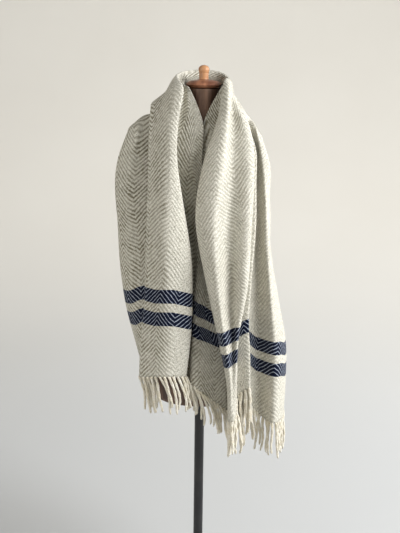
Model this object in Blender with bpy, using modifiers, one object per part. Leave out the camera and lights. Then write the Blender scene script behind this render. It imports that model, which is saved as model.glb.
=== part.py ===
"""A woven wool blanket hung over a dress form on a pole stand.

Metres. +Z is up, +X is the viewer's right and -Y is the front. The origin is the
middle of the base's underside. The blanket is one sheet: its two ends hang down in
front and its middle lies round the neck and across the back.
"""

import math
from collections import namedtuple

import bmesh
import bpy
import numpy as np

# Blanket
CLOTH = 0.003  # thickness of the woven sheet
COLUMN_STEPS = (3, 4, 4, 4, 4, 3, 3, 4, 4, 4, 4, 4, 3, 3)  # grid steps from one fold to the next
FRONT_STEPS = 2  # grid steps between two heights of a hanging end
TOP_STEPS = 3  # grid steps between the sections over the shoulder and across the back
HEIGHTS = (0.00, 0.12, 0.27, 0.44, 0.62, 0.78, 0.90, 1.00)  # shares of the way from the hem to the top
BLADE_ACROSS = 0.68  # how far out the cloth passes the shoulder blade, as a share of the shoulder
BLADE_BACK = 0.78  # how far back it has come there, as a share of the way to the middle of the back
BLADE_DROP = 0.72  # and how far down, as a share of the way to its height at the middle of the back

# Fringe
STRAND_PITCH = 0.0132  # from one strand to the next along the hem
STRAND_WIDTH = 0.0050  # along the hem; a strand is as thick as the strip
STRAND_LENGTH = 0.088
STRAND_VARY = 0.008  # the strands' lengths differ by this much either way
STRAND_RHYTHM = 2.4  # how fast the lengths change from strand to strand, in radians
STRAND_STEPS = 2  # lengths that a strand is drawn out in
STRAND_TAPER = 0.8  # the tip's width, as a share of the root's
STRIP_HEIGHT = 0.006
STRIP_THICK = 0.0028
STRIP_GAP = 0.0009  # between the cloth's middle surface and the strip, across the hem
RINGS_PER_STRAND = 3  # the strip's sections: before and after a strand, and half-way to the next
TURN_REACH = 0.0020  # the hem's direction is read this far either way
STEEPEST = 1.5  # a hem steeper than this is treated as this steep

# Stand
PIECE_GAP = 0.0004  # between pieces that touch
BASE_RADIUS = 0.170
BASE_HEIGHT = 0.030
BASE_RIM = 0.010
POLE_RADIUS = 0.0137
BOARD_TOP = 0.652
BOARD_THICK = 0.012
BOARD_WIDTH = 0.124  # half of it, as the radii are
SHOULDER_WIDTH = 0.150
NECK_TOP = 1.5105
CAP_RADIUS = 0.048
CAP_TOP = 1.5335
FINIAL_TOP = 1.5705
PLATE_RADIUS = 0.026
PLATE_THICK = 0.006
PLATE_HEIGHT = 1.265
TURN_STEPS = 28  # sides of a turned piece
BASE_STEPS = 40
POLE_STEPS = 20  # and of a slender one
SMOOTH_ANGLE = math.radians(40)

# One row per lengthwise fold of the blanket's left end, from the neck edge outwards: the
# heights of its hem and top, x at each of HEIGHTS, y at the hem, the middle and the top,
# and the place where it crosses the shoulder.
Fold = namedtuple("Fold", "name hem top x y shoulder")
LEFT_FOLDS = (
    Fold("neck edge", 0.645, 1.513, (0.079, 0.072, 0.053, 0.019, 0.004, -0.001, -0.001, -0.038),
         (-0.122, -0.112, -0.050), (-0.052, 0.000, 1.518)),
    Fold("lapel", 0.734, 1.503, (-0.023, -0.021, -0.018, -0.009, -0.015, -0.032, -0.037, -0.043),
         (-0.144, -0.104, -0.052), (-0.056, 0.000, 1.525)),
    Fold("trough right", 0.742, 1.502, (-0.029, -0.024, -0.018, -0.021, -0.052, -0.075, -0.064, -0.050),
         (-0.110, -0.087, -0.046), (-0.060, 0.000, 1.524)),
    Fold("trough left", 0.746, 1.504, (-0.046, -0.042, -0.040, -0.050, -0.082, -0.098, -0.080, -0.060),
         (-0.118, -0.091, -0.058), (-0.066, 0.000, 1.526)),
    Fold("roll edge", 0.759, 1.509, (-0.039, -0.029, -0.023, -0.027, -0.049, -0.067, -0.064, -0.053),
         (-0.157, -0.157, -0.082), (-0.070, 0.000, 1.542)),
    Fold("roll crest", 0.767, 1.504, (-0.074, -0.072, -0.070, -0.073, -0.081, -0.083, -0.080, -0.071),
         (-0.178, -0.180, -0.080), (-0.080, 0.000, 1.534)),
    Fold("roll side", 0.767, 1.498, (-0.101, -0.098, -0.095, -0.095, -0.098, -0.099, -0.097, -0.086),
         (-0.180, -0.177, -0.070), (-0.089, 0.000, 1.519)),
    Fold("roll back", 0.763, 1.489, (-0.128, -0.125, -0.119, -0.118, -0.118, -0.117, -0.115, -0.102),
         (-0.170, -0.160, -0.055), (-0.097, 0.000, 1.502)),
    Fold("outer fold", 0.755, 1.460, (-0.163, -0.160, -0.150, -0.146, -0.143, -0.141, -0.141, -0.137),
         (-0.150, -0.138, -0.044), (-0.136, 0.005, 1.465)),
    Fold("outer turn", 0.755, 1.447, (-0.137, -0.134, -0.123, -0.119, -0.116, -0.114, -0.114, -0.119),
         (-0.126, -0.102, -0.030), (-0.122, 0.005, 1.447)),
    Fold("column back", 0.751, 1.418, (-0.137, -0.149, -0.163, -0.166, -0.167, -0.166, -0.164, -0.156),
         (-0.104, -0.084, -0.030), (-0.158, 0.010, 1.436)),
    Fold("column crest", 0.742, 1.410, (-0.150, -0.164, -0.186, -0.195, -0.199, -0.199, -0.188, -0.171),
         (-0.080, -0.070, -0.034), (-0.180, 0.012, 1.418)),
    Fold("silhouette", 0.742, 1.401, (-0.162, -0.183, -0.207, -0.222, -0.230, -0.233, -0.219, -0.196),
         (-0.030, -0.030, -0.020), (-0.199, 0.030, 1.392)),
    Fold("far side", 0.744, 1.350, (-0.150, -0.168, -0.188, -0.202, -0.212, -0.216, -0.208, -0.200),
         (0.035, 0.045, 0.035), (-0.199, 0.078, 1.338)),
    Fold("outer edge", 0.750, 1.200, (-0.125, -0.142, -0.160, -0.174, -0.184, -0.189, -0.187, -0.184),
         (0.085, 0.100, 0.095), (-0.180, 0.110, 1.255)),
)
# The same for the right end.
RIGHT_FOLDS = (
    Fold("neck edge", 0.607, 1.514, (0.092, 0.095, 0.076, 0.041, 0.011, -0.005, -0.000, 0.045),
         (-0.098, -0.107, -0.042), (0.054, 0.000, 1.518)),
    Fold("inner band", 0.622, 1.514, (0.110, 0.106, 0.090, 0.066, 0.045, 0.032, 0.041, 0.052),
         (-0.098, -0.112, -0.046), (0.057, 0.000, 1.525)),
    Fold("inner turn", 0.623, 1.514, (0.118, 0.118, 0.103, 0.082, 0.066, 0.057, 0.051, 0.057),
         (-0.113, -0.126, -0.052), (0.059, 0.000, 1.531)),
    Fold("roll edge", 0.642, 1.530, (0.079, 0.069, 0.037, 0.005, -0.020, 0.003, 0.038, 0.052),
         (-0.157, -0.163, -0.063), (0.064, 0.000, 1.537)),
    Fold("roll crest", 0.650, 1.520, (0.081, 0.080, 0.061, 0.040, 0.031, 0.047, 0.060, 0.064),
         (-0.200, -0.205, -0.077), (0.071, 0.000, 1.532)),
    Fold("valley", 0.652, 1.504, (0.089, 0.085, 0.083, 0.074, 0.071, 0.075, 0.073, 0.071),
         (-0.203, -0.158, -0.045), (0.082, 0.000, 1.474)),
    Fold("lobe crest", 0.660, 1.459, (0.095, 0.094, 0.095, 0.108, 0.116, 0.120, 0.116, 0.095),
         (-0.188, -0.192, -0.056), (0.092, 0.000, 1.463)),
    Fold("lobe edge", 0.668, 1.453, (0.098, 0.097, 0.099, 0.119, 0.127, 0.133, 0.130, 0.108),
         (-0.172, -0.174, -0.046), (0.103, 0.000, 1.459)),
    Fold("lobe turn", 0.700, 1.440, (0.102, 0.087, 0.079, 0.097, 0.104, 0.108, 0.104, 0.102),
         (-0.150, -0.142, -0.026), (0.110, 0.000, 1.450)),
    Fold("under edge", 0.732, 1.426, (0.134, 0.132, 0.126, 0.131, 0.140, 0.140, 0.139, 0.114),
         (-0.160, -0.143, -0.031), (0.117, 0.000, 1.441)),
    Fold("under turn", 0.700, 1.418, (0.116, 0.114, 0.108, 0.113, 0.122, 0.122, 0.121, 0.114),
         (-0.130, -0.125, -0.013), (0.124, 0.000, 1.433)),
    Fold("side", 0.611, 1.408, (0.172, 0.167, 0.160, 0.153, 0.155, 0.153, 0.149, 0.137),
         (-0.098, -0.088, -0.030), (0.131, 0.000, 1.423)),
    Fold("back crest", 0.600, 1.392, (0.204, 0.204, 0.202, 0.188, 0.173, 0.167, 0.159, 0.144),
         (-0.132, -0.122, -0.045), (0.145, 0.000, 1.398)),
    Fold("silhouette", 0.596, 1.391, (0.235, 0.237, 0.234, 0.210, 0.183, 0.175, 0.177, 0.150),
         (-0.070, -0.070, -0.040), (0.154, 0.006, 1.380)),
    Fold("outer edge", 0.606, 1.350, (0.236, 0.238, 0.234, 0.208, 0.188, 0.184, 0.174, 0.166),
         (-0.005, -0.010, -0.022), (0.162, 0.014, 1.360)),
)
# y and z where each fold crosses the middle of the back, in the same order.
BACK_FOLDS = (
    (0.054, 1.529),
    (0.056, 1.537),
    (0.058, 1.544),
    (0.061, 1.551),
    (0.067, 1.556),
    (0.075, 1.548),
    (0.080, 1.532),
    (0.085, 1.515),
    (0.094, 1.470),
    (0.104, 1.432),
    (0.118, 1.388),
    (0.123, 1.318),
    (0.133, 1.243),
    (0.129, 1.163),
    (0.131, 1.090),
)
# z, half width and half depth of the form from the neck down.
FORM_SECTIONS = (
    (NECK_TOP, 0.0440, 0.0440),
    (1.4800, 0.0450, 0.0460),
    (1.4580, 0.0500, 0.0500),
    (1.4400, 0.0740, 0.0500),
    (1.4180, 0.1000, 0.0520),
    (1.3900, 0.1237, 0.0538),
    (1.3550, 0.1420, 0.0560),
    (1.3100, SHOULDER_WIDTH, 0.0620),
    (1.2200, SHOULDER_WIDTH, 0.0790),
    (1.1200, 0.1300, 0.0780),
    (1.0200, 0.1180, 0.0760),
    (0.9000, 0.1320, 0.0860),
    (0.7800, 0.1460, 0.0920),
    (0.7000, 0.1420, 0.0900),
    (BOARD_TOP + PIECE_GAP, 0.1320, 0.0860),
)


def clear_scene():
    for existing in list(bpy.data.objects):
        bpy.data.objects.remove(existing, do_unlink=True)


def new_collection(name):
    made = bpy.data.collections.new(name)
    bpy.context.scene.collection.children.link(made)
    return made


def new_material(name, colour, roughness, metallic=0.0):
    made = bpy.data.materials.new(name)
    made.use_nodes = True
    shader = made.node_tree.nodes["Principled BSDF"]
    shader.inputs["Base Color"].default_value = (*colour, 1.0)
    shader.inputs["Roughness"].default_value = roughness
    shader.inputs["Metallic"].default_value = metallic
    return made


def add_object(name, mesh, collection, material):
    made = bpy.data.objects.new(name, mesh)
    made.data.materials.append(material)
    collection.objects.link(made)
    return made


def curve_through(points, steps):
    """A smooth curve through rows of points, with its own number of steps to each span."""
    gaps = np.linalg.norm(np.diff(points, axis=0), axis=-1, keepdims=True) ** 0.5
    chords = np.diff(points, axis=0) / gaps
    tangents = np.empty_like(points)
    tangents[0] = chords[0]
    tangents[-1] = chords[-1]
    tangents[1:-1] = (chords[:-1] * gaps[1:] + chords[1:] * gaps[:-1]) / (gaps[1:] + gaps[:-1])
    rows = [points[0]]
    for span, count in enumerate(steps):
        start = points[span]
        end = points[span + 1]
        leave = tangents[span] * gaps[span]
        arrive = tangents[span + 1] * gaps[span]
        for step in range(1, count + 1):
            t = step / count
            rows.append(
                start * (2 * t**3 - 3 * t**2 + 1)
                + leave * (t**3 - 2 * t**2 + t)
                + end * (3 * t**2 - 2 * t**3)
                + arrive * (t**3 - t**2)
            )
    return np.array(rows)


def end_sections(folds):
    """The sections of one hanging end, from the hem up, each with a point per fold."""
    sections = []
    for index, share in enumerate(HEIGHTS):
        section = []
        for fold in folds:
            depth = np.interp(share, (0.0, 0.5, 1.0), fold.y)
            section.append((fold.x[index], depth, fold.hem + (fold.top - fold.hem) * share))
        sections.append(section)
    sections.append([fold.shoulder for fold in folds])
    sections.append([
        (
            fold.shoulder[0] * BLADE_ACROSS,
            fold.shoulder[1] + (back[0] - fold.shoulder[1]) * BLADE_BACK,
            fold.shoulder[2] + (back[1] - fold.shoulder[2]) * BLADE_DROP,
        )
        for fold, back in zip(folds, BACK_FOLDS)
    ])
    return sections


def blanket_points():
    """The sheet's middle surface: rows from the left hem to the right hem, columns from the neck edge out."""
    left = end_sections(LEFT_FOLDS)
    right = end_sections(RIGHT_FOLDS)
    middle = [[(0.0, y, z) for y, z in BACK_FOLDS]]
    sections = np.array(left + middle + right[::-1])
    side_steps = [FRONT_STEPS] * (len(HEIGHTS) - 1) + [TOP_STEPS] * 3
    lengthwise = curve_through(sections, side_steps + side_steps[::-1])
    across = curve_through(lengthwise.transpose(1, 0, 2), COLUMN_STEPS)
    return across.transpose(1, 0, 2)


def build_blanket(points, collection, material):
    rows, columns = points.shape[:2]
    mesh = bpy.data.meshes.new("blanket")
    work = bmesh.new()
    bmesh.ops.create_grid(work, x_segments=columns - 1, y_segments=rows - 1, size=0.5)
    for vertex in work.verts:
        column = round((vertex.co.x + 0.5) * (columns - 1))
        row = round((vertex.co.y + 0.5) * (rows - 1))
        vertex.co = points[row, column]
    work.to_mesh(mesh)
    work.free()
    blanket = add_object("blanket", mesh, collection, material)
    shell = blanket.modifiers.new("thickness", "SOLIDIFY")
    shell.thickness = CLOTH
    shell.offset = 0.0
    mesh.shade_smooth()
    return blanket


def hem_reader(hem):
    """A function that gives the place and the level direction at a distance along the hem, and its length."""
    steps = np.linalg.norm(np.diff(hem, axis=0), axis=1)
    travelled = np.concatenate(([0.0], np.cumsum(steps)))

    def read(distance):
        near, place, far = (
            np.array([np.interp(distance + shift, travelled, hem[:, axis]) for axis in range(3)])
            for shift in (-TURN_REACH, 0.0, TURN_REACH)
        )
        ahead = far - near
        slope = min(abs(ahead[2]) / math.hypot(ahead[0], ahead[1]), STEEPEST)
        ahead[2] = 0.0
        return place, ahead / np.linalg.norm(ahead), slope

    return read, travelled[-1]


def build_fringe(name, hem, collection, material):
    """A narrow strip just below the hem with the strands drawn out of its underside."""
    read, length = hem_reader(hem)
    count = int(length / STRAND_PITCH)
    pitch = length / count
    work = bmesh.new()
    rings = []
    for index in range(count):
        middle = (index + 0.5) * pitch
        for shift in (-STRAND_WIDTH / 2, STRAND_WIDTH / 2, pitch / 2):
            place, ahead, slope = read(middle + shift)
            through = np.array([-ahead[1], ahead[0], 0.0]) * STRIP_THICK / 2
            top = place - np.array([0.0, 0.0, STRIP_GAP * math.hypot(1.0, slope)])
            bottom = top - np.array([0.0, 0.0, STRIP_HEIGHT])
            corners = (top - through, top + through, bottom + through, bottom - through)
            rings.append([work.verts.new(corner) for corner in corners])
    for vertex in rings.pop():
        work.verts.remove(vertex)
    strands = []
    for index in range(len(rings) - 1):
        near = rings[index]
        far = rings[index + 1]
        for corner in range(4):
            following = (corner + 1) % 4
            face = work.faces.new((near[corner], near[following], far[following], far[corner]))
            if corner == 2 and index % RINGS_PER_STRAND == 0:
                strands.append((index // RINGS_PER_STRAND, face))
    work.faces.new(rings[0][::-1])
    work.faces.new(rings[-1])
    for index, face in strands:
        length = STRAND_LENGTH + STRAND_VARY * math.sin(STRAND_RHYTHM * index)
        for step in range(STRAND_STEPS):
            grown = bmesh.ops.extrude_discrete_faces(work, faces=[face])
            face = grown["faces"][0]
            middle = face.calc_center_median()
            shrink = 1.0 if step == 0 else STRAND_TAPER
            floor = min(vertex.co.z for vertex in face.verts)
            for vertex in face.verts:
                vertex.co.x = middle.x + (vertex.co.x - middle.x) * shrink
                vertex.co.y = middle.y + (vertex.co.y - middle.y) * shrink
                vertex.co.z = floor - length / STRAND_STEPS
    bmesh.ops.recalc_face_normals(work, faces=work.faces)
    mesh = bpy.data.meshes.new(name)
    work.to_mesh(mesh)
    work.free()
    return add_object(name, mesh, collection, material)


def build_turned(name, profile, collection, material, steps=TURN_STEPS):
    """A turned piece from (radius, z) pairs, from its top to its bottom."""
    mesh = bpy.data.meshes.new(name)
    points = [(radius, 0.0, height) for radius, height in profile]
    edges = [(index, index + 1) for index in range(len(points) - 1)]
    mesh.from_pydata(points, edges, [])
    turned = add_object(name, mesh, collection, material)
    screw = turned.modifiers.new("turn", "SCREW")
    screw.axis = "Z"
    screw.steps = steps
    screw.render_steps = steps
    screw.use_merge_vertices = True
    screw.merge_threshold = 0.00005
    screw.use_smooth_shade = True
    return turned


def fixed_mesh(thing):
    """Replaces an object's modifiers by the mesh that they make."""
    evaluated = thing.evaluated_get(bpy.context.evaluated_depsgraph_get())
    mesh = bpy.data.meshes.new_from_object(evaluated)
    thing.modifiers.clear()
    thing.data = mesh
    return mesh


def build_form(collection, material):
    """The form is turned to its widths and then narrowed from front to back."""
    profile = [(0.0, NECK_TOP)]
    profile += [(width, height) for height, width, depth in FORM_SECTIONS]
    profile.append((0.0, FORM_SECTIONS[-1][0]))
    form = build_turned("form", profile, collection, material)
    mesh = fixed_mesh(form)
    heights = [section[0] for section in FORM_SECTIONS][::-1]
    shares = [section[2] / section[1] for section in FORM_SECTIONS][::-1]
    for vertex in mesh.vertices:
        vertex.co.y *= float(np.interp(vertex.co.z, heights, shares))
    mesh.set_sharp_from_angle(angle=SMOOTH_ANGLE)
    return form


def build_stand(collection, iron, wood, cap_wood, form_stain):
    base_profile = (
        (0.0, BASE_HEIGHT),
        (POLE_RADIUS + 0.010, BASE_HEIGHT),
        (POLE_RADIUS + 0.014, BASE_HEIGHT - 0.006),
        (POLE_RADIUS + 0.030, BASE_RIM + 0.006),
        (BASE_RADIUS - 0.030, BASE_RIM + 0.002),
        (BASE_RADIUS - 0.004, BASE_RIM),
        (BASE_RADIUS, BASE_RIM - 0.004),
        (BASE_RADIUS, 0.0),
        (0.0, 0.0),
    )
    build_turned("base", base_profile, collection, iron, BASE_STEPS)
    pole_top = BOARD_TOP - BOARD_THICK - PIECE_GAP
    pole_profile = (
        (0.0, pole_top),
        (POLE_RADIUS + 0.012, pole_top),
        (POLE_RADIUS + 0.012, pole_top - 0.006),
        (POLE_RADIUS, pole_top - 0.012),
        (POLE_RADIUS, BASE_HEIGHT + PIECE_GAP),
        (0.0, BASE_HEIGHT + PIECE_GAP),
    )
    build_turned("pole", pole_profile, collection, iron, POLE_STEPS)
    board_profile = (
        (0.0, BOARD_TOP),
        (BOARD_WIDTH, BOARD_TOP),
        (BOARD_WIDTH, BOARD_TOP - BOARD_THICK + 0.003),
        (BOARD_WIDTH - 0.003, BOARD_TOP - BOARD_THICK),
        (0.0, BOARD_TOP - BOARD_THICK),
    )
    board = build_turned("bottom_board", board_profile, collection, form_stain)
    board_mesh = fixed_mesh(board)
    for vertex in board_mesh.vertices:
        vertex.co.y *= FORM_SECTIONS[-1][2] / FORM_SECTIONS[-1][1]
    board_mesh.set_sharp_from_angle(angle=SMOOTH_ANGLE)
    build_form(collection, form_stain)
    cap_profile = (
        (0.0, CAP_TOP),
        (0.014, CAP_TOP),
        (0.036, CAP_TOP - 0.004),
        (CAP_RADIUS - 0.003, CAP_TOP - 0.009),
        (CAP_RADIUS, CAP_TOP - 0.013),
        (CAP_RADIUS - 0.003, CAP_TOP - 0.017),
        (0.040, CAP_TOP - 0.021),
        (0.034, NECK_TOP + PIECE_GAP),
        (0.0, NECK_TOP + PIECE_GAP),
    )
    build_turned("neck_cap", cap_profile, collection, cap_wood)
    finial_profile = (
        (0.0, FINIAL_TOP),
        (0.0060, FINIAL_TOP - 0.0010),
        (0.0110, FINIAL_TOP - 0.0035),
        (0.0140, FINIAL_TOP - 0.0080),
        (0.0145, FINIAL_TOP - 0.0120),
        (0.0138, FINIAL_TOP - 0.0165),
        (0.0125, FINIAL_TOP - 0.0200),
        (0.0122, CAP_TOP + PIECE_GAP + 0.0020),
        (0.0130, CAP_TOP + PIECE_GAP),
        (0.0, CAP_TOP + PIECE_GAP),
    )
    build_turned("finial", finial_profile, collection, wood, POLE_STEPS)
    plate_profile = (
        (0.0, PLATE_THICK),
        (PLATE_RADIUS - 0.002, PLATE_THICK),
        (PLATE_RADIUS, PLATE_THICK - 0.002),
        (PLATE_RADIUS, 0.0),
        (0.0, 0.0),
    )
    for name, side in (("arm_plate_left", -1.0), ("arm_plate_right", 1.0)):
        plate = build_turned(name, plate_profile, collection, wood, POLE_STEPS)
        plate.location = (side * (SHOULDER_WIDTH + PIECE_GAP), 0.0, PLATE_HEIGHT)
        plate.rotation_euler = (0.0, side * math.pi / 2, 0.0)


def build_blanket_and_fringes(collection, wool):
    points = blanket_points()
    build_blanket(points, collection, wool)
    build_fringe("fringe_left", points[0], collection, wool)
    build_fringe("fringe_right", points[-1], collection, wool)


def main():
    clear_scene()
    collection = new_collection("wool_blanket_on_dress_form")
    wool = new_material("cream_wool", (0.78, 0.75, 0.68), 0.95)
    iron = new_material("black_iron", (0.015, 0.015, 0.017), 0.45)
    wood = new_material("orange_wood", (0.50, 0.25, 0.12), 0.4)
    cap_wood = new_material("red_wood", (0.33, 0.13, 0.07), 0.4)
    form_stain = new_material("dark_stained_form", (0.075, 0.035, 0.022), 0.55)
    build_stand(collection, iron, wood, cap_wood, form_stain)
    build_blanket_and_fringes(collection, wool)


main()
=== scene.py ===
"""The looks of a woven wool blanket hung over a dress form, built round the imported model.

Metres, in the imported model's frame. +Z is up, +X is the viewer's right, -Y is the front.
"""

import math
from collections import namedtuple

import bpy
import numpy as np
from mathutils import Matrix, Vector


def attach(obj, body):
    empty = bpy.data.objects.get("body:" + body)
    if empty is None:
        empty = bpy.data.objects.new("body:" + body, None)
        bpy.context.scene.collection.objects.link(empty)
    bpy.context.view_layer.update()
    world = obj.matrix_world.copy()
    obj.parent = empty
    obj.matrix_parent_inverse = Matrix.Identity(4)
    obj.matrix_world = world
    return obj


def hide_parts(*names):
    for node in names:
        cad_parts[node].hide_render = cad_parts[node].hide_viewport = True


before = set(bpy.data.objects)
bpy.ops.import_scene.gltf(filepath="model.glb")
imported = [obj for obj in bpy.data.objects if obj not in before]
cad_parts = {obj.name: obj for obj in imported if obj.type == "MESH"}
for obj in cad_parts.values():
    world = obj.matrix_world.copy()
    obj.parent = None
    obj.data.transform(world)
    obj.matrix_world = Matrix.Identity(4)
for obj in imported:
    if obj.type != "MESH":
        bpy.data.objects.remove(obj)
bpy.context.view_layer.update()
BODY = "root"

# Blanket, with the same folds as its solid
CLOTH = 0.003
COLUMN_STEPS = (13, 13, 13, 13, 13, 8, 8, 13, 13, 13, 13, 13, 12, 12)
FRONT_STEPS = 12
TOP_STEPS = 18
# Shares of the way from the hem up to the top of each fold
HEIGHTS = (0.00, 0.12, 0.27, 0.44, 0.62, 0.78, 0.90, 1.00)
BLADE_ACROSS = 0.68  # the shoulder blade's share of the shoulder's x
BLADE_BACK = 0.78  # and its share of the way to the back's middle, in y and in height
BLADE_DROP = 0.72
RELAX_ROUNDS = 6
FLAT_LENGTH = 2.0

# Fold lines from the neck edge out: the heights at the hem and just below the shoulder, the x at
# each of HEIGHTS, the y at the hem, halfway and top, and the point on the shoulder.
Fold = namedtuple("Fold", "name hem top x y shoulder")
LEFT_FOLDS = (
    Fold("neck edge", 0.645, 1.513, (0.079, 0.072, 0.053, 0.019, 0.004, -0.001, -0.001, -0.038),
         (-0.122, -0.112, -0.050), (-0.052, 0.000, 1.518)),
    Fold("lapel", 0.734, 1.503, (-0.023, -0.021, -0.018, -0.009, -0.015, -0.032, -0.037, -0.043),
         (-0.144, -0.104, -0.052), (-0.056, 0.000, 1.525)),
    Fold("trough right", 0.742, 1.502,
         (-0.029, -0.024, -0.018, -0.021, -0.052, -0.075, -0.064, -0.050),
         (-0.110, -0.087, -0.046), (-0.060, 0.000, 1.524)),
    Fold("trough left", 0.746, 1.504,
         (-0.046, -0.042, -0.040, -0.050, -0.082, -0.098, -0.080, -0.060),
         (-0.118, -0.091, -0.058), (-0.066, 0.000, 1.526)),
    Fold("roll edge", 0.759, 1.509, (-0.039, -0.029, -0.023, -0.027, -0.049, -0.067, -0.064, -0.053),
         (-0.157, -0.157, -0.082), (-0.070, 0.000, 1.542)),
    Fold("roll crest", 0.767, 1.504, (-0.074, -0.072, -0.070, -0.073, -0.081, -0.083, -0.080, -0.071),
         (-0.178, -0.180, -0.080), (-0.080, 0.000, 1.534)),
    Fold("roll side", 0.767, 1.498, (-0.101, -0.098, -0.095, -0.095, -0.098, -0.099, -0.097, -0.086),
         (-0.180, -0.177, -0.070), (-0.089, 0.000, 1.519)),
    Fold("roll back", 0.763, 1.489, (-0.128, -0.125, -0.119, -0.118, -0.118, -0.117, -0.115, -0.102),
         (-0.170, -0.160, -0.055), (-0.097, 0.000, 1.502)),
    Fold("outer fold", 0.755, 1.460, (-0.163, -0.160, -0.150, -0.146, -0.143, -0.141, -0.141, -0.137),
         (-0.150, -0.138, -0.044), (-0.136, 0.005, 1.465)),
    Fold("outer turn", 0.755, 1.447, (-0.137, -0.134, -0.123, -0.119, -0.116, -0.114, -0.114, -0.119),
         (-0.126, -0.102, -0.030), (-0.122, 0.005, 1.447)),
    Fold("column back", 0.751, 1.418, (-0.137, -0.149, -0.163, -0.166, -0.167, -0.166, -0.164, -0.156),
         (-0.104, -0.084, -0.030), (-0.158, 0.010, 1.436)),
    Fold("column crest", 0.742, 1.410, (-0.150, -0.164, -0.186, -0.195, -0.199, -0.199, -0.188, -0.171),
         (-0.080, -0.070, -0.034), (-0.180, 0.012, 1.418)),
    Fold("silhouette", 0.742, 1.401, (-0.162, -0.183, -0.207, -0.222, -0.230, -0.233, -0.219, -0.196),
         (-0.030, -0.030, -0.020), (-0.199, 0.030, 1.392)),
    Fold("far side", 0.744, 1.350, (-0.150, -0.168, -0.188, -0.202, -0.212, -0.216, -0.208, -0.200),
         (0.035, 0.045, 0.035), (-0.199, 0.078, 1.338)),
    Fold("outer edge", 0.750, 1.200, (-0.125, -0.142, -0.160, -0.174, -0.184, -0.189, -0.187, -0.184),
         (0.085, 0.100, 0.095), (-0.180, 0.110, 1.255)),
)
RIGHT_FOLDS = (
    Fold("neck edge", 0.607, 1.514, (0.092, 0.095, 0.076, 0.041, 0.011, -0.005, -0.000, 0.045),
         (-0.098, -0.107, -0.042), (0.054, 0.000, 1.518)),
    Fold("inner band", 0.622, 1.514, (0.110, 0.106, 0.090, 0.066, 0.045, 0.032, 0.041, 0.052),
         (-0.098, -0.112, -0.046), (0.057, 0.000, 1.525)),
    Fold("inner turn", 0.623, 1.514, (0.118, 0.118, 0.103, 0.082, 0.066, 0.057, 0.051, 0.057),
         (-0.113, -0.126, -0.052), (0.059, 0.000, 1.531)),
    Fold("roll edge", 0.642, 1.530, (0.080, 0.072, 0.045, 0.011, -0.018, 0.003, 0.038, 0.052),
         (-0.157, -0.163, -0.063), (0.064, 0.000, 1.537)),
    Fold("roll crest", 0.650, 1.520, (0.081, 0.080, 0.061, 0.040, 0.031, 0.047, 0.060, 0.064),
         (-0.200, -0.205, -0.077), (0.071, 0.000, 1.532)),
    Fold("valley", 0.652, 1.504, (0.089, 0.085, 0.083, 0.074, 0.071, 0.075, 0.073, 0.071),
         (-0.203, -0.158, -0.045), (0.082, 0.000, 1.474)),
    Fold("lobe crest", 0.660, 1.459, (0.095, 0.094, 0.095, 0.108, 0.116, 0.120, 0.116, 0.095),
         (-0.188, -0.192, -0.056), (0.092, 0.000, 1.463)),
    Fold("lobe edge", 0.668, 1.453, (0.098, 0.097, 0.099, 0.119, 0.127, 0.133, 0.130, 0.108),
         (-0.172, -0.174, -0.046), (0.103, 0.000, 1.459)),
    Fold("lobe turn", 0.700, 1.440, (0.102, 0.087, 0.079, 0.097, 0.104, 0.108, 0.104, 0.102),
         (-0.150, -0.142, -0.026), (0.110, 0.000, 1.450)),
    Fold("under edge", 0.732, 1.426, (0.134, 0.132, 0.126, 0.131, 0.140, 0.140, 0.139, 0.114),
         (-0.160, -0.143, -0.031), (0.117, 0.000, 1.441)),
    Fold("under turn", 0.700, 1.418, (0.116, 0.114, 0.108, 0.113, 0.122, 0.122, 0.121, 0.114),
         (-0.130, -0.125, -0.013), (0.124, 0.000, 1.433)),
    Fold("side", 0.624, 1.408, (0.172, 0.167, 0.160, 0.153, 0.155, 0.153, 0.149, 0.137),
         (-0.098, -0.088, -0.030), (0.131, 0.000, 1.423)),
    Fold("back crest", 0.617, 1.392, (0.204, 0.204, 0.202, 0.188, 0.173, 0.167, 0.159, 0.144),
         (-0.132, -0.122, -0.045), (0.145, 0.000, 1.398)),
    Fold("silhouette", 0.615, 1.391, (0.235, 0.237, 0.234, 0.210, 0.183, 0.175, 0.177, 0.150),
         (-0.070, -0.070, -0.040), (0.154, 0.006, 1.380)),
    Fold("outer edge", 0.625, 1.350, (0.236, 0.238, 0.234, 0.208, 0.188, 0.184, 0.174, 0.166),
         (-0.005, -0.010, -0.022), (0.162, 0.014, 1.360)),
)
# The same fold lines at the middle of the back: y and height
BACK_FOLDS = (
    (0.054, 1.529),
    (0.056, 1.537),
    (0.058, 1.544),
    (0.061, 1.551),
    (0.067, 1.556),
    (0.075, 1.548),
    (0.080, 1.532),
    (0.085, 1.515),
    (0.094, 1.470),
    (0.104, 1.432),
    (0.118, 1.388),
    (0.123, 1.318),
    (0.133, 1.243),
    (0.129, 1.163),
    (0.131, 1.090),
)

# Weave
WEAVE_MAP = "weave"
# The mesh's painted highlight and shade: how clearly the lines show at each point
PAINTED_LIGHT_MAP = "painted_light_lines"
THREAD_FOLD = 8  # the fold that the lengthwise threads run along
THREAD_ACROSS = 0.3475  # how far across the cloth that fold lies
EXACT_REACH = 0.35  # near each hem, lengths along the cloth are kept exactly
HALF_WAVE = 0.0475
TWILL_SLOPE = 1.14
TWILL_PITCH = 0.0121
LOWER_BAND = (0.1407, 0.1785)  # from the hem
UPPER_BAND = (0.2020, 0.2395)
BARE = (0.300, 0.400)  # the lower band stops here, across the right end
BAND_BLUR = 0.0008
BARE_BLUR = 0.004

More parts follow.
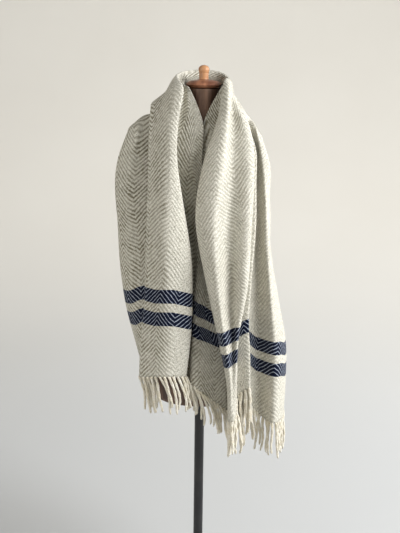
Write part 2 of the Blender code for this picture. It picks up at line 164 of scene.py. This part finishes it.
# The cloth hangs out of square, so its lengthwise threads slide across the folds. Each row gives
# the distance from the hem and the slide in half waves on five of the folds.
SLIDE_FOLDS = (0.0, 4.0, 5.5, 11.0, 12.2)
Slide = namedtuple("Slide", "from_hem neck_edge roll beside_roll outer outermost")
LEFT_SLIDES = (
    Slide(0.05, 0.55, 0.05, -0.25, 0.00, 0.00),
    Slide(0.16, 0.65, -0.14, -0.35, 0.00, 0.00),
    Slide(0.24, -0.20, 0.00, -0.05, -0.22, -0.22),
    Slide(0.30, 0.10, 0.30, 0.20, -0.36, -0.36),
    Slide(0.38, 0.30, 0.38, 0.38, -0.62, -0.62),
    Slide(0.46, 0.40, 0.50, 0.50, -0.88, -0.88),
    Slide(0.53, 0.30, 0.35, 0.35, -0.85, -0.85),
    Slide(0.60, 0.20, 0.20, 0.20, -0.75, -0.75),
    Slide(0.68, 0.10, 0.10, 0.10, -0.70, -0.70),
)
RIGHT_SLIDES = (
    Slide(0.05, -0.96, -1.40, -1.40, -0.95, -1.38),
    Slide(0.16, -0.96, -1.40, -1.40, -0.95, -1.40),
    Slide(0.24, -1.00, -0.75, -1.30, -1.00, -1.38),
    Slide(0.30, -0.50, -0.30, -0.80, -0.62, -0.85),
    Slide(0.38, 0.00, 0.32, -0.25, -0.20, -0.30),
    Slide(0.46, 0.50, 0.84, 0.06, 0.14, 0.14),
    Slide(0.53, 0.90, 1.18, 0.12, 0.10, 0.10),
    Slide(0.60, 1.30, 1.50, 0.60, 0.30, 0.30),
    Slide(0.68, 1.40, 1.70, 1.10, 0.80, 0.80),
)
# The crosswise threads slide along the cloth as well, by this much on these folds.
Slip = namedtuple("Slip", "fold along")
LEFT_SLIPS = (Slip(0.0, -0.040), Slip(0.3, -0.023), Slip(0.5, -0.013), Slip(0.62, -0.006),
              Slip(0.77, 0.003), Slip(1.08, 0.012), Slip(1.46, 0.022), Slip(3.0, 0.0),
              Slip(4.2, 0.006), Slip(5.0, -0.001), Slip(7.0, -0.001), Slip(8.0, -0.0135),
              Slip(10.5, 0.0), Slip(12.0, 0.008))
RIGHT_SLIPS = (Slip(3.5, -0.011), Slip(4.0, -0.013), Slip(5.7, -0.014), Slip(6.6, -0.009),
               Slip(7.4, 0.004), Slip(8.4, 0.048), Slip(9.6, 0.048), Slip(10.6, 0.020),
               Slip(10.85, 0.017), Slip(11.0, 0.011), Slip(11.7, 0.006), Slip(12.4, 0.007),
               Slip(12.8, 0.019))
SLIP_REACH = (0.30, 0.60)  # the slip fades between these lengths from the hem

# How clearly the weave's lines show at each fold, as painted light: faint where a fold should look
# bright.
PaintedLight = namedtuple("PaintedLight", "fold clear")
LEFT_PAINTED_LIGHT = (PaintedLight(0.0, 0.8), PaintedLight(3.0, 1.0), PaintedLight(3.8, 0.15), PaintedLight(5.0, 0.25), PaintedLight(6.0, 0.85),
             PaintedLight(8.0, 1.0), PaintedLight(14.0, 1.0))
RIGHT_PAINTED_LIGHT = (PaintedLight(0.0, 1.0), PaintedLight(2.5, 1.0), PaintedLight(3.4, 0.55), PaintedLight(4.3, 0.38), PaintedLight(5.3, 0.62),
              PaintedLight(6.2, 0.32), PaintedLight(9.5, 0.25), PaintedLight(10.5, 0.70), PaintedLight(11.2, 0.50), PaintedLight(12.0, 0.35),
              PaintedLight(13.0, 0.22), PaintedLight(14.0, 0.3))

PAINTED_LIGHT_CHANGE = (0.35, 0.30)  # from this share of the rows on, over this share, left becomes right

# Soft dents and swells: the fold and the distance from the hem where each lies, its reach in
# folds and along the cloth, and how far it stands out.
Dent = namedtuple("Dent", "fold from_hem across along rise")
LEFT_DENTS = (
    Dent(5.3, 0.53, 0.8, 0.090, -0.0040),
    Dent(6.3, 0.38, 0.9, 0.070, 0.0030),
    Dent(4.9, 0.27, 0.7, 0.060, -0.0030),
    Dent(11.4, 0.42, 1.0, 0.080, -0.0040),
    Dent(12.0, 0.58, 0.9, 0.060, 0.0035),
)
RIGHT_DENTS = (
    Dent(4.3, 0.52, 0.8, 0.080, -0.0040),
    Dent(5.9, 0.40, 0.8, 0.070, 0.0035),
    Dent(4.4, 0.30, 0.6, 0.050, -0.0030),
    Dent(12.2, 0.33, 0.8, 0.080, -0.0040),
    Dent(12.0, 0.50, 0.7, 0.060, 0.0035),
)

# Fringe
STRAND_PITCH = 0.0122
STRAND_LENGTH = 0.099
STRAND_VARY = 0.011
PLY_RADIUS = 0.0035
PLY_OFFSET = 0.0011
PLY_TURN = 0.050  # length of one turn of the twist
PLY_SIDES = 6
STRAND_STEPS = 24
STRAND_ROOT = 0.002  # the strands start this far inside the hem
STRAND_SLIM = 0.72  # a strand's thickness near its tip, against its root
STRAND_TIP = 0.35
LEAN_VARY = 0.05
SWAY = (0.002, 0.005)
OUT_SWAY = 0.35
Fringe = namedtuple("Fringe", "lean seed")
LEFT_FRINGE = Fringe(lean=0.19, seed=4)
RIGHT_FRINGE = Fringe(lean=0.04, seed=9)

# Camera
IMAGE_HEIGHT = 533
FOCAL_PIXELS = 854
SENSOR = 36.0
CAMERA_PLACE = (-0.0038, -2.3, 1.61)
CAMERA_DOWN = math.radians(14.27)
CAMERA_ROLL = 4.7 / 367

# Room
ROOM_RADIUS = 6.0
ROOM_HEIGHT = 5.0
ROOM_BEND = 3.6
ROOM_SIDES = 96
FLOOR_DROP = 0.0005
WORLD_COLOUR = (1.0, 0.965, 0.905, 1.0)
WORLD_STRENGTH = 0.20
Light = namedtuple("Light", "name place target size power colour")
LIGHTS = (
    Light("window", (2.5, -1.2, 2.7), (0.0, 0.0, 1.15), 1.9, 148.0, (0.98, 0.99, 1.0)),
    Light("left_fill", (-3.0, -1.9, 2.0), (0.0, 0.0, 1.1), 2.2, 39.0, (1.0, 0.985, 0.95)),
    Light("right_fill", (3.0, 0.7, 1.9), (0.15, 0.0, 1.1), 1.6, 30.0, (1.0, 1.0, 0.99)),
    Light("wall_light", (0.9, 1.6, 3.4), (0.3, 5.6, 0.9), 1.8, 80.0, (1.0, 0.985, 0.95)),
)

# Colours, in pairs the darker one first
WOOL = (0.750, 0.728, 0.650)
WOOL_LINE = (0.165, 0.147, 0.095)
WOOL_SHADE = (0.25, 0.226, 0.158)
WOOL_SPECKLE = (0.27, 0.25, 0.20)
WOOL_FLECK = (0.06, 0.055, 0.05)
BAND = (0.003, 0.006, 0.021)
BAND_LINE = (0.36, 0.40, 0.48)
STRANDS = ((0.62, 0.57, 0.46), (0.91, 0.885, 0.81))
STRAND_BLOTCH = (0.86, 0.80, 0.66)
STAINED_WOOD = ((0.078, 0.043, 0.030), (0.21, 0.120, 0.080))
RED_WOOD = ((0.16, 0.06, 0.032), (0.36, 0.155, 0.085))
LIGHT_WOOD = ((0.38, 0.17, 0.075), (0.62, 0.33, 0.16))
IRON = ((0.012, 0.012, 0.014), (0.028, 0.027, 0.027))
WALL = ((0.735, 0.715, 0.67), (0.775, 0.76, 0.72))
FLOOR = (0.54, 0.55, 0.555)


def curve_through(points, steps):
    """A smooth curve through rows of points, with its own number of steps to each span."""
    gaps = np.linalg.norm(np.diff(points, axis=0), axis=-1, keepdims=True) ** 0.5
    chords = np.diff(points, axis=0) / gaps
    tangents = np.empty_like(points)
    tangents[0] = chords[0]
    tangents[-1] = chords[-1]
    tangents[1:-1] = (chords[:-1] * gaps[1:] + chords[1:] * gaps[:-1]) / (gaps[1:] + gaps[:-1])
    rows = [points[0]]
    for span, count in enumerate(steps):
        start = points[span]
        end = points[span + 1]
        leave = tangents[span] * gaps[span]
        arrive = tangents[span + 1] * gaps[span]
        for step in range(1, count + 1):
            t = step / count
            rows.append(
                start * (2 * t**3 - 3 * t**2 + 1)
                + leave * (t**3 - 2 * t**2 + t)
                + end * (3 * t**2 - 2 * t**3)
                + arrive * (t**3 - t**2)
            )
    return np.array(rows)


def end_sections(folds):
    """The sections of one hanging end, from the hem up, each with a point per fold."""
    sections = []
    for index, share in enumerate(HEIGHTS):
        section = []
        for fold in folds:
            depth = np.interp(share, (0.0, 0.5, 1.0), fold.y)
            section.append((fold.x[index], depth, fold.hem + (fold.top - fold.hem) * share))
        sections.append(section)
    sections.append([fold.shoulder for fold in folds])
    sections.append([
        (
            fold.shoulder[0] * BLADE_ACROSS,
            fold.shoulder[1] + (back[0] - fold.shoulder[1]) * BLADE_BACK,
            fold.shoulder[2] + (back[1] - fold.shoulder[2]) * BLADE_DROP,
        )
        for fold, back in zip(folds, BACK_FOLDS)
    ])
    return sections


def fold_numbers(columns):
    """For each column of the sheet, its place in the list of folds."""
    starts = np.concatenate([[0], np.cumsum(COLUMN_STEPS)])
    return np.interp(np.arange(columns), starts, np.arange(len(starts)))


def distances_along(points):
    """How far along its column each point lies, from the left hem."""
    steps = np.linalg.norm(np.diff(points, axis=0), axis=-1)
    return np.concatenate([np.zeros((1, points.shape[1])), np.cumsum(steps, axis=0)], axis=0)


def relax(points, rounds):
    """Takes the last unevenness out of a grid of points and leaves its edges where they are."""
    points = points.copy()
    for _ in range(rounds):
        inner = points[1:-1, 1:-1]
        around = (points[:-2, 1:-1] + points[2:, 1:-1] + points[1:-1, :-2] + points[1:-1, 2:]) / 4
        points[1:-1, 1:-1] = inner + (around - inner) * 0.5
    return points


def blanket_points():
    """The sheet's middle surface.

    Its rows go from the left hem to the right one, and its columns from the neck edge out.
    """
    left = end_sections(LEFT_FOLDS)
    right = end_sections(RIGHT_FOLDS)
    middle = [[(0.0, y, z) for y, z in BACK_FOLDS]]
    sections = np.array(left + middle + right[::-1])
    side_steps = [FRONT_STEPS] * (len(HEIGHTS) - 1) + [TOP_STEPS] * 3
    lengthwise = curve_through(sections, side_steps + side_steps[::-1])
    across = curve_through(lengthwise.transpose(1, 0, 2), COLUMN_STEPS)
    return dented(relax(across.transpose(1, 0, 2), RELAX_ROUNDS))


def dented(points):
    """The sheet with its dents and swells, which push it along its own facing."""
    folds = fold_numbers(points.shape[1])[None, :]
    facing = np.cross(np.gradient(points, axis=0), np.gradient(points, axis=1))
    facing /= np.linalg.norm(facing, axis=-1, keepdims=True)
    along = distances_along(points)
    rise = np.zeros(points.shape[:2])
    for dents, from_hem in ((LEFT_DENTS, along), (RIGHT_DENTS, along[-1:] - along)):
        for dent in dents:
            across = (folds - dent.fold) / dent.across
            lengthwise = (from_hem - dent.from_hem) / dent.along
            rise += dent.rise * np.exp(-(across**2 + lengthwise**2))
    return points + facing * rise[..., None]


def smooth_step(value):
    """Eases from 0 to 1 as the value goes from 0 to 1."""
    value = np.clip(value, 0.0, 1.0)
    return value * value * (3 - 2 * value)


def slides(table, from_hem, folds):
    """How many half waves the lengthwise threads have slid across, at each point."""
    heights, *columns = zip(*table)
    kept = [np.interp(from_hem, heights, column) for column in columns]
    result = kept[0]
    for before, after, low, high in zip(kept, kept[1:], SLIDE_FOLDS, SLIDE_FOLDS[1:]):
        share = np.clip((folds - low) / (high - low), 0.0, 1.0)
        result = result + (after - before) * share
    return result


def thread_places(points):
    """For each point, how far across the cloth and how far along it from the left hem it lies."""
    across_steps = np.linalg.norm(np.diff(points, axis=1), axis=-1)
    across = np.concatenate([np.zeros((len(points), 1)), np.cumsum(across_steps, axis=1)], axis=1)
    thread = sum(COLUMN_STEPS[:THREAD_FOLD])
    across = across - across[:, thread, None] + THREAD_ACROSS
    along = distances_along(points)
    total = along[-1:]
    share = smooth_step((along - EXACT_REACH) / (total - 2 * EXACT_REACH))
    folds = fold_numbers(points.shape[1])[None, :]
    left = slides(LEFT_SLIDES, along, folds)
    right = slides(RIGHT_SLIDES, total - along, folds)
    across = across + (left + (right - left) * share) * HALF_WAVE
    left_slip = np.interp(folds, *zip(*LEFT_SLIPS))
    right_slip = np.interp(folds, *zip(*RIGHT_SLIPS))
    fade_start, fade_end = SLIP_REACH
    fade = fade_end - fade_start
    left_slip = left_slip * (1 - smooth_step((along - fade_start) / fade))
    right_slip = right_slip * (1 - smooth_step((total - along - fade_start) / fade))
    along = along - (total - FLAT_LENGTH) * share + left_slip - right_slip
    return across, along


def painted_light_clearness(rows, columns):
    """How clearly the lines show at each point, from the left hem to the right one: painted highlight
    and shade.
    """
    folds = fold_numbers(columns)
    left = np.interp(folds, *zip(*LEFT_PAINTED_LIGHT))
    right = np.interp(folds, *zip(*RIGHT_PAINTED_LIGHT))
    change_start, change = PAINTED_LIGHT_CHANGE
    share = smooth_step((np.arange(rows) / (rows - 1) - change_start) / change)[:, None]
    return left + (right - left) * share


def new_mesh_object(name, vertices, faces, material):
    mesh = bpy.data.meshes.new(name)
    mesh.from_pydata([tuple(vertex) for vertex in vertices], [], faces)
    mesh.shade_smooth()
    made = bpy.data.objects.new(name, mesh)
    mesh.materials.append(material)
    bpy.context.scene.collection.objects.link(made)
    return made


def build_blanket(points, material):
    rows, columns = points.shape[:2]
    across, along = thread_places(points)
    faces = [
        (row * columns + column, row * columns + column + 1,
         (row + 1) * columns + column + 1, (row + 1) * columns + column)
        for row in range(rows - 1)
        for column in range(columns - 1)
    ]
    cloth = new_mesh_object("blanket_cloth", points.reshape(-1, 3), faces, material)
    # How clearly the lines show, kept on the mesh: painted highlight and shade
    clear = cloth.data.attributes.new(PAINTED_LIGHT_MAP, "FLOAT", "POINT")
    clear.data.foreach_set("value", painted_light_clearness(rows, columns).ravel())
    weave = cloth.data.uv_layers.new(name=WEAVE_MAP)
    corners = np.array([loop.vertex_index for loop in cloth.data.loops])
    places = np.stack([across.ravel()[corners], along.ravel()[corners]], axis=1)
    weave.data.foreach_set("uv", places.ravel())
    shell = cloth.modifiers.new("thickness", "SOLIDIFY")
    shell.thickness = CLOTH
    shell.offset = 0.0
    return cloth


def distances_down(line):
    """How far along a line each of its points lies."""
    steps = np.linalg.norm(np.diff(line, axis=0), axis=1)
    return np.concatenate([[0.0], np.cumsum(steps)])


def level_circle(angle):
    return np.array([math.cos(angle), math.sin(angle), 0.0])


def ply_tube(path, phase):
    """The vertices and faces of one ply that winds round a strand's line."""
    distances = distances_down(path)
    vertices = []
    faces = []
    for index, centre in enumerate(path):
        share = index / (len(path) - 1)
        slim = 1.0 - (1.0 - STRAND_SLIM) * share
        turn = phase + 2 * math.pi * distances[index] / PLY_TURN
        middle = centre + level_circle(turn) * PLY_OFFSET * slim
        radius = PLY_RADIUS * slim
        if index == len(path) - 1:
            radius *= STRAND_TIP
        for corner in range(PLY_SIDES):
            vertices.append(middle + level_circle(2 * math.pi * corner / PLY_SIDES) * radius)
    for index in range(len(path) - 1):
        for corner in range(PLY_SIDES):
            following = (corner + 1) % PLY_SIDES
            base = index * PLY_SIDES
            faces.append((base + corner, base + PLY_SIDES + corner,
                          base + PLY_SIDES + following, base + following))
    last = (len(path) - 1) * PLY_SIDES
    faces.append(tuple(range(PLY_SIDES)))
    faces.append(tuple(last + corner for corner in reversed(range(PLY_SIDES))))
    return vertices, faces


def strand_path(root, through, length, lean, sway, phase):
    """The line of one strand: out of the hem, over to the side it leans to, then straight down."""
    path = []
    for step in range(STRAND_STEPS + 1):
        t = step / STRAND_STEPS
        shift = lean * length * (1 - (1 - t) ** 2)
        wave = sway * math.sin(2 * math.pi * (0.9 * t + phase)) * t
        out = OUT_SWAY * sway * math.cos(2 * math.pi * (0.7 * t + phase)) * t
        place = root + np.array([shift + wave, 0.0, 0.0]) + through * out
        place[2] = root[2] - length * t
        path.append(place)
    return np.array(path)


def build_fringe(name, hem, fringe, material):
    """A row of strands of two twisted plies each, along a hem."""
    random = np.random.RandomState(fringe.seed)
    travelled = distances_down(hem)
    count = int(travelled[-1] / STRAND_PITCH)
    pitch = travelled[-1] / count
    vertices = []
    faces = []
    for index in range(count):
        distance = (index + 0.5) * pitch
        near, root, far = (
            np.array([np.interp(distance + shift, travelled, hem[:, axis]) for axis in range(3)])
            for shift in (-0.002, 0.0, 0.002)
        )
        ahead = far - near
        ahead[2] = 0.0
        ahead /= np.linalg.norm(ahead)
        through = np.array([-ahead[1], ahead[0], 0.0])
        root[2] += STRAND_ROOT
        length = STRAND_LENGTH + STRAND_VARY * random.uniform(-1, 1)
        lean = fringe.lean + random.normal(0, LEAN_VARY)
        path = strand_path(root, through, length, lean, random.uniform(*SWAY),
                           random.uniform(0, 1))
        turn = random.uniform(0, 2 * math.pi)
        for ply in range(2):
            tube_vertices, tube_faces = ply_tube(path, turn + math.pi * ply)
            start = len(vertices)
            vertices.extend(tube_vertices)
            faces.extend(tuple(start + corner for corner in face) for face in tube_faces)
    return new_mesh_object(name, vertices, faces, material)


class Graph:
    """Adds nodes to a material and links them."""

    def __init__(self, name):
        self.material = bpy.data.materials.new(name)
        self.material.use_nodes = True
        self.tree = self.material.node_tree
        self.shader = self.tree.nodes["Principled BSDF"]

    def put(self, socket, value):
        if isinstance(value, bpy.types.NodeSocket):
            self.tree.links.new(value, socket)
        elif value is not None:
            socket.default_value = value

    def math(self, operation, first, second=None, third=None):
        made = self.tree.nodes.new("ShaderNodeMath")
        made.operation = operation
        for socket, value in zip(made.inputs, (first, second, third)):
            self.put(socket, value)
        return made.outputs[0]

    def ramp(self, value, low, high, to_low=0.0, to_high=1.0):
        made = self.tree.nodes.new("ShaderNodeMapRange")
        made.interpolation_type = "SMOOTHSTEP"
        for name, given in (("Value", value), ("From Min", low), ("From Max", high),
                            ("To Min", to_low), ("To Max", to_high)):
            self.put(made.inputs[name], given)
        return made.outputs[0]

    def noise(self, vector, scale, detail=2.0, roughness=0.5):
        made = self.tree.nodes.new("ShaderNodeTexNoise")
        self.put(made.inputs["Vector"], vector)
        self.put(made.inputs["Scale"], scale)
        self.put(made.inputs["Detail"], detail)
        self.put(made.inputs["Roughness"], roughness)
        return made.outputs["Fac"]

    def mix(self, share, first, second, blend="MIX"):
        made = self.tree.nodes.new("ShaderNodeMix")
        made.data_type = "RGBA"
        made.blend_type = blend
        self.put(made.inputs[0], share)
        self.put(made.inputs[6], (*first, 1.0) if isinstance(first, tuple) else first)
        self.put(made.inputs[7], (*second, 1.0) if isinstance(second, tuple) else second)
        return made.outputs[2]

    def scaled(self, vector, scale):
        made = self.tree.nodes.new("ShaderNodeVectorMath")
        made.operation = "MULTIPLY"
        self.put(made.inputs[0], vector)
        self.put(made.inputs[1], scale)
        return made.outputs[0]

    def place(self):
        return self.tree.nodes.new("ShaderNodeTexCoord").outputs["Object"]

    def bump(self, height, strength, distance):
        made = self.tree.nodes.new("ShaderNodeBump")
        self.put(made.inputs["Height"], height)
        self.put(made.inputs["Strength"], strength)
        self.put(made.inputs["Distance"], distance)
        self.tree.links.new(made.outputs["Normal"], self.shader.inputs["Normal"])

    def finish(self, **inputs):
        for name, value in inputs.items():
            self.put(self.shader.inputs[name.replace("_", " ")], value)
        return self.material


def wool_material():
    """The herringbone: lines at a slope that turns with each half wave, and two dark bands."""
    graph = Graph("herringbone_wool")
    thread = graph.tree.nodes.new("ShaderNodeUVMap")
    thread.uv_map = WEAVE_MAP
    split = graph.tree.nodes.new("ShaderNodeSeparateXYZ")
    graph.put(split.inputs[0], thread.outputs[0])
    across, along = split.outputs[0], split.outputs[1]
    place = graph.place()
    wobble = graph.math("SUBTRACT", graph.noise(place, 70.0, 2.0), 0.5)
    wobble = graph.math("MULTIPLY", wobble, 0.005)
    zigzag = graph.math("PINGPONG", across, HALF_WAVE)
    rise = graph.math("MULTIPLY_ADD", zigzag, TWILL_SLOPE, graph.math("ADD", along, wobble))
    lines = graph.math("DIVIDE", rise, TWILL_PITCH)
    wave = graph.math("MULTIPLY", graph.math("PINGPONG", lines, 0.5), 2.0)
    fibre = graph.noise(place, 360.0, 3.0, 0.65)
    tuft = graph.noise(place, 150.0, 2.0, 0.6)
    fuzz = graph.math("ADD", graph.math("SUBTRACT", fibre, 0.5),
                      graph.math("SUBTRACT", tuft, 0.5))
    frayed = graph.math("MULTIPLY_ADD", fuzz, 1.5, wave)
    combed = graph.math("MULTIPLY_ADD", fuzz, 0.35, wave)
    # The lines vary at random like wear, and by the fold table on the mesh, which paints highlight and
    # shade
    painted_light_lines = graph.tree.nodes.new("ShaderNodeAttribute")
    painted_light_lines.attribute_name = PAINTED_LIGHT_MAP
    wear_and_painted_light = graph.ramp(graph.noise(place, 24.0, 3.0, 0.6), 0.35, 0.62, 0.60, 1.0)
    wear_and_painted_light = graph.math("MULTIPLY", wear_and_painted_light, painted_light_lines.outputs["Fac"])
    field_line = graph.math("MULTIPLY", graph.ramp(frayed, 0.22, 0.90), wear_and_painted_light)
    band_line = graph.ramp(combed, 0.08, 0.28)
    field = graph.mix(field_line, WOOL, WOOL_LINE)
    field = graph.mix(graph.ramp(fibre, 0.36, 0.56, 0.50, 0.0), field, WOOL_SHADE)
    fleck = graph.ramp(graph.noise(place, 420.0, 1.0), 0.71, 0.75)
    field = graph.mix(fleck, field, WOOL_FLECK)
    # More speckle where the lines are faded for the painted highlight
    painted_highlight_share = graph.math("MULTIPLY_ADD", painted_light_lines.outputs["Fac"], -0.65, 1.0)
    speckle = graph.ramp(graph.noise(place, 310.0, 1.0), 0.53, 0.68, 0.0, 0.80)
    field = graph.mix(graph.math("MULTIPLY", speckle, painted_highlight_share), field, WOOL_SPECKLE)
    band = graph.mix(band_line, BAND_LINE, BAND)
    from_hem = graph.math("MINIMUM", along, graph.math("SUBTRACT", FLAT_LENGTH, along))
    lower, upper = (
        graph.math("MULTIPLY", graph.ramp(from_hem, start - BAND_BLUR, start + BAND_BLUR),
                   graph.ramp(from_hem, end - BAND_BLUR, end + BAND_BLUR, 1.0, 0.0))
        for start, end in (LOWER_BAND, UPPER_BAND)
    )
    bare_start, bare_end = BARE
    bare = graph.math("MULTIPLY", graph.ramp(across, bare_start, bare_start + BARE_BLUR),
                      graph.ramp(across, bare_end, bare_end + BARE_BLUR, 1.0, 0.0))
    bare = graph.math("MULTIPLY", bare, graph.math("GREATER_THAN", along, FLAT_LENGTH / 2))
    lower = graph.math("MULTIPLY", lower, graph.math("SUBTRACT", 1.0, bare))
    inside = graph.math("MAXIMUM", lower, upper)
    colour = graph.mix(inside, field, band)
    height = graph.math("MULTIPLY_ADD", fibre, 0.5, graph.math("SUBTRACT", 1.0, wave))
    graph.bump(height, 0.8, 0.0014)
    return graph.finish(Base_Color=colour, Roughness=0.95, Specular_IOR_Level=0.12,
                        Sheen_Weight=0.06, Sheen_Roughness=0.5)


def strand_material():
    graph = Graph("wool_strands")
    place = graph.place()
    fibre = graph.noise(graph.scaled(place, (1.0, 1.0, 0.25)), 900.0, 3.0, 0.6)
    blotch = graph.noise(place, 60.0)
    colour = graph.mix(graph.ramp(fibre, 0.3, 0.7), *STRANDS)
    blotch = graph.ramp(blotch, 0.3, 0.7, 0.0, 0.6)
    colour = graph.mix(blotch, colour, STRAND_BLOTCH, "MULTIPLY")
    graph.bump(fibre, 0.6, 0.0008)
    return graph.finish(Base_Color=colour, Roughness=0.95, Sheen_Weight=0.25, Sheen_Roughness=0.5)


def wood_material(name, colours, grain_scale):
    dark, light = colours
    graph = Graph(name)
    place = graph.place()
    grain = graph.noise(graph.scaled(place, grain_scale), 60.0, 4.0, 0.6)
    pores = graph.noise(graph.scaled(place, grain_scale), 400.0, 2.0)
    colour = graph.mix(graph.ramp(grain, 0.35, 0.68), dark, light)
    colour = graph.mix(graph.ramp(pores, 0.60, 0.75, 0.0, 0.5), colour, dark)
    graph.bump(pores, 0.15, 0.0005)
    return graph.finish(Base_Color=colour, Roughness=graph.ramp(grain, 0.3, 0.7, 0.34, 0.46))


def iron_material():
    graph = Graph("black_iron")
    place = graph.place()
    mottle = graph.noise(place, 160.0, 3.0)
    wear = graph.noise(place, 9.0, 3.0)
    colour = graph.mix(graph.ramp(wear, 0.45, 0.75), *IRON)
    graph.bump(mottle, 0.12, 0.0006)
    return graph.finish(Base_Color=colour, Roughness=graph.ramp(mottle, 0.3, 0.7, 0.34, 0.46))


def keep_with(piece, slot, *nodes):
    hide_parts(*nodes)
    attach(piece, BODY)


def build_camera():
    data = bpy.data.cameras.new("camera")
    data.sensor_fit = "VERTICAL"
    data.sensor_height = SENSOR
    data.lens = FOCAL_PIXELS / IMAGE_HEIGHT * SENSOR
    camera = bpy.data.objects.new("camera", data)
    camera.matrix_world = (
        Matrix.Translation(CAMERA_PLACE)
        @ Matrix.Rotation(math.pi / 2 - CAMERA_DOWN, 4, "X")
        @ Matrix.Rotation(CAMERA_ROLL, 4, "Z")
    )
    bpy.context.scene.collection.objects.link(camera)
    bpy.context.scene.camera = camera


def add_light(light):
    data = bpy.data.lights.new(light.name, "AREA")
    data.shape = "DISK"
    data.size = light.size
    data.energy = light.power
    data.color = light.colour
    lamp = bpy.data.objects.new(light.name, data)
    away = Vector(light.place) - Vector(light.target)
    lamp.location = light.place
    lamp.rotation_euler = away.to_track_quat("Z", "Y").to_euler()
    bpy.context.scene.collection.objects.link(lamp)


def build_room():
    """A pale floor that bends up into the wall all round."""
    graph = Graph("pale_room")
    place = graph.place()
    reach = graph.tree.nodes.new("ShaderNodeVectorMath")
    reach.operation = "LENGTH"
    graph.put(reach.inputs[0], place)
    wall = graph.mix(graph.noise(place, 1.4, 2.0), *WALL)
    colour = graph.mix(graph.ramp(reach.outputs["Value"], 1.0, 4.6), FLOOR, wall)
    material = graph.finish(Base_Color=colour, Roughness=0.9)
    profile = [(ROOM_RADIUS - ROOM_BEND, -FLOOR_DROP)]
    profile += [
        (ROOM_RADIUS - ROOM_BEND + ROOM_BEND * math.sin(angle),
         ROOM_BEND - ROOM_BEND * math.cos(angle) - FLOOR_DROP)
        for angle in np.linspace(0, math.pi / 2, 13)[1:]
    ]
    profile.append((ROOM_RADIUS, ROOM_HEIGHT))
    vertices = [(0.0, 0.0, -FLOOR_DROP)]
    for radius, height in profile:
        for corner in range(ROOM_SIDES):
            angle = 2 * math.pi * corner / ROOM_SIDES
            vertices.append((radius * math.cos(angle), radius * math.sin(angle), height))
    faces = [(0, 1 + corner, 1 + (corner + 1) % ROOM_SIDES) for corner in range(ROOM_SIDES)]
    for ring in range(len(profile) - 1):
        base = 1 + ring * ROOM_SIDES
        for corner in range(ROOM_SIDES):
            following = (corner + 1) % ROOM_SIDES
            faces.append((base + corner, base + ROOM_SIDES + corner,
                          base + ROOM_SIDES + following, base + following))
    new_mesh_object("pale_room", vertices, faces, material)


def build_stage():
    build_room()
    world = bpy.data.worlds.new("soft_light")
    world.use_nodes = True
    background = world.node_tree.nodes["Background"]
    background.inputs["Color"].default_value = WORLD_COLOUR
    background.inputs["Strength"].default_value = WORLD_STRENGTH
    bpy.context.scene.world = world
    for light in LIGHTS:
        add_light(light)


def main():
    build_camera()
    build_stage()
    points = blanket_points()
    wool = wool_material()
    strands = strand_material()
    cloth = build_blanket(points, wool)
    keep_with(cloth, "wool_cream", "blanket")
    left = build_fringe("fringe_left_strands", points[0], LEFT_FRINGE, strands)
    keep_with(left, "wool_cream", "fringe_left")
    right = build_fringe("fringe_right_strands", points[-1], RIGHT_FRINGE, strands)
    keep_with(right, "wool_cream", "fringe_right")
    stain = wood_material("stained_form", STAINED_WOOD, (1.0, 1.0, 0.08))
    red = wood_material("red_wood", RED_WOOD, (1.0, 0.15, 1.0))
    light = wood_material("light_wood", LIGHT_WOOD, (1.0, 1.0, 0.15))
    iron = iron_material()
    for material, nodes in (
        (stain, ("form", "bottom_board")),
        (red, ("neck_cap",)),
        (light, ("finial", "arm_plate_left", "arm_plate_right")),
        (iron, ("pole", "base")),
    ):
        for node in nodes:
            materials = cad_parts[node].data.materials
            materials.clear()
            materials.append(material)
    bpy.context.scene.view_settings.view_transform = "Standard"


main()
